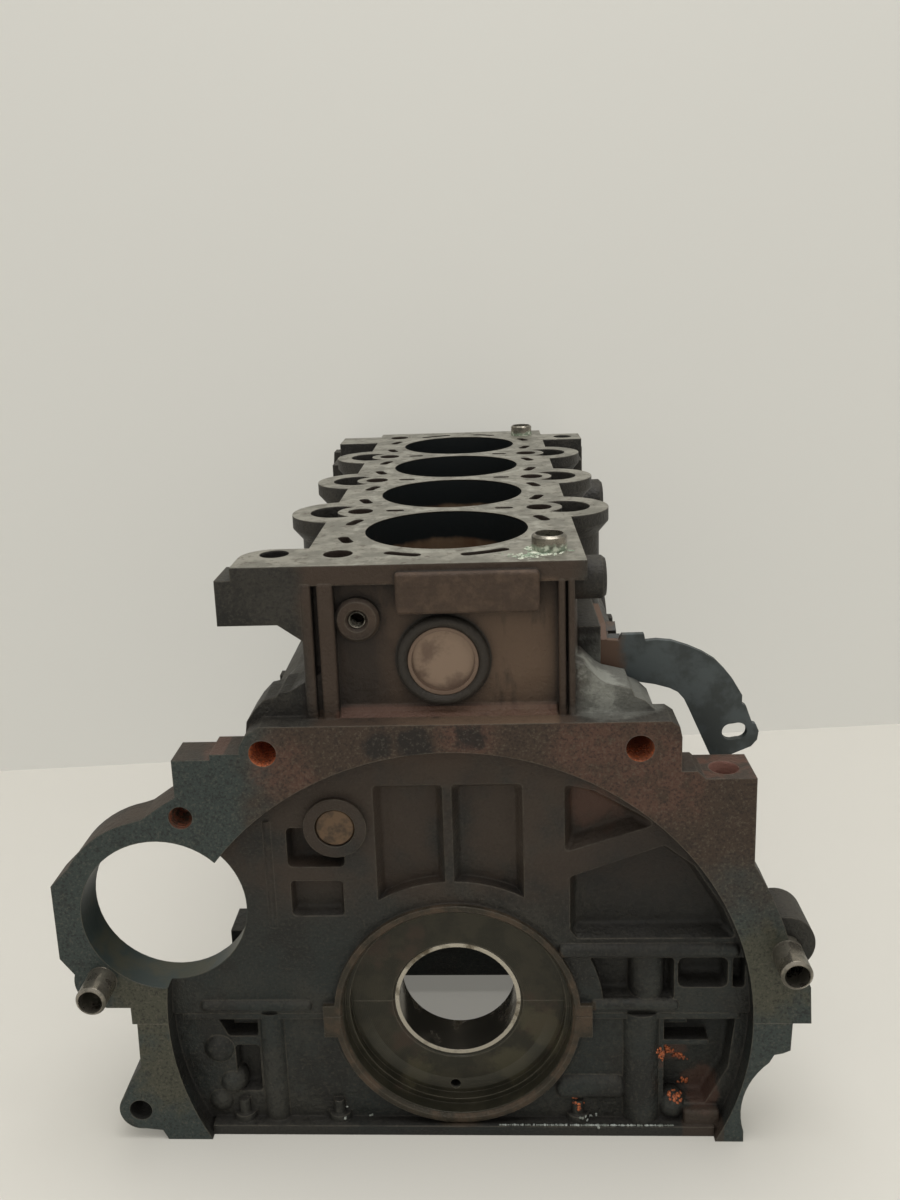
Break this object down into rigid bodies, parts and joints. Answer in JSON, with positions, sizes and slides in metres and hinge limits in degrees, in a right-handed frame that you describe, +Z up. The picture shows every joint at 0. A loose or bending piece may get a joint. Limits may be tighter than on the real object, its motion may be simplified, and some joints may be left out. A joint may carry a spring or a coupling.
{
  "type": "engine block",
  "caption": "Cast-iron inline engine block with closed deck, bell-housing flange, starter opening, bolted bedplate, dowels and plugs.",
  "frame": {"origin": "on the crank axis, at the middle of the centre main bearing", "axes": "+Z up along the cylinders to the head face, +Y along the crank axis from the flywheel end to the timing end, +X to the side with the pressed bracket"},
  "size_m": [0.3335, 0.402, 0.2787],
  "materials": {
    "block_iron": "oily grey cast iron, rusty on the bell flange and rear wall, machined deck",
    "bedplate_iron": "dark oily cast iron",
    "dowel_steel": "worn steel",
    "shell_metal": "smooth bearing metal",
    "plug_steel": "zinc-plated steel, tarnished",
    "gallery_plug_steel": "yellow-passivated steel, oily",
    "bolt_steel": "black phosphated steel",
    "bracket_steel": "grey plated pressed steel"
  },
  "bodies": {
    "root": {"cylinder_block": "block_iron", "bedplate": "bedplate_iron", "head_dowel_flywheel_end": "dowel_steel", "head_dowel_timing_end": "dowel_steel", "bell_dowel_left": "dowel_steel", "bell_dowel_right": "dowel_steel", "core_plug_rear": "plug_steel", "gallery_plug_rear": "gallery_plug_steel", "gallery_plug_front": "gallery_plug_steel", "main_bolts": "bolt_steel", "rail_bolts": "bolt_steel", "pipe_bracket": "bracket_steel", "bracket_screws": "bolt_steel", "main_shell_upper_1": "shell_metal", "main_shell_lower_1": "shell_metal", "main_shell_upper_2": "shell_metal", "main_shell_lower_2": "shell_metal", "main_shell_upper_3": "shell_metal", "main_shell_lower_3": "shell_metal", "main_shell_upper_4": "shell_metal", "main_shell_lower_4": "shell_metal", "main_shell_upper_5": "shell_metal", "main_shell_lower_5": "shell_metal", "core_plug_left_1": "plug_steel", "core_plug_left_2": "plug_steel", "core_plug_left_3": "plug_steel", "core_plug_right_1": "plug_steel", "core_plug_right_2": "plug_steel"}
  },
  "joints": []
}
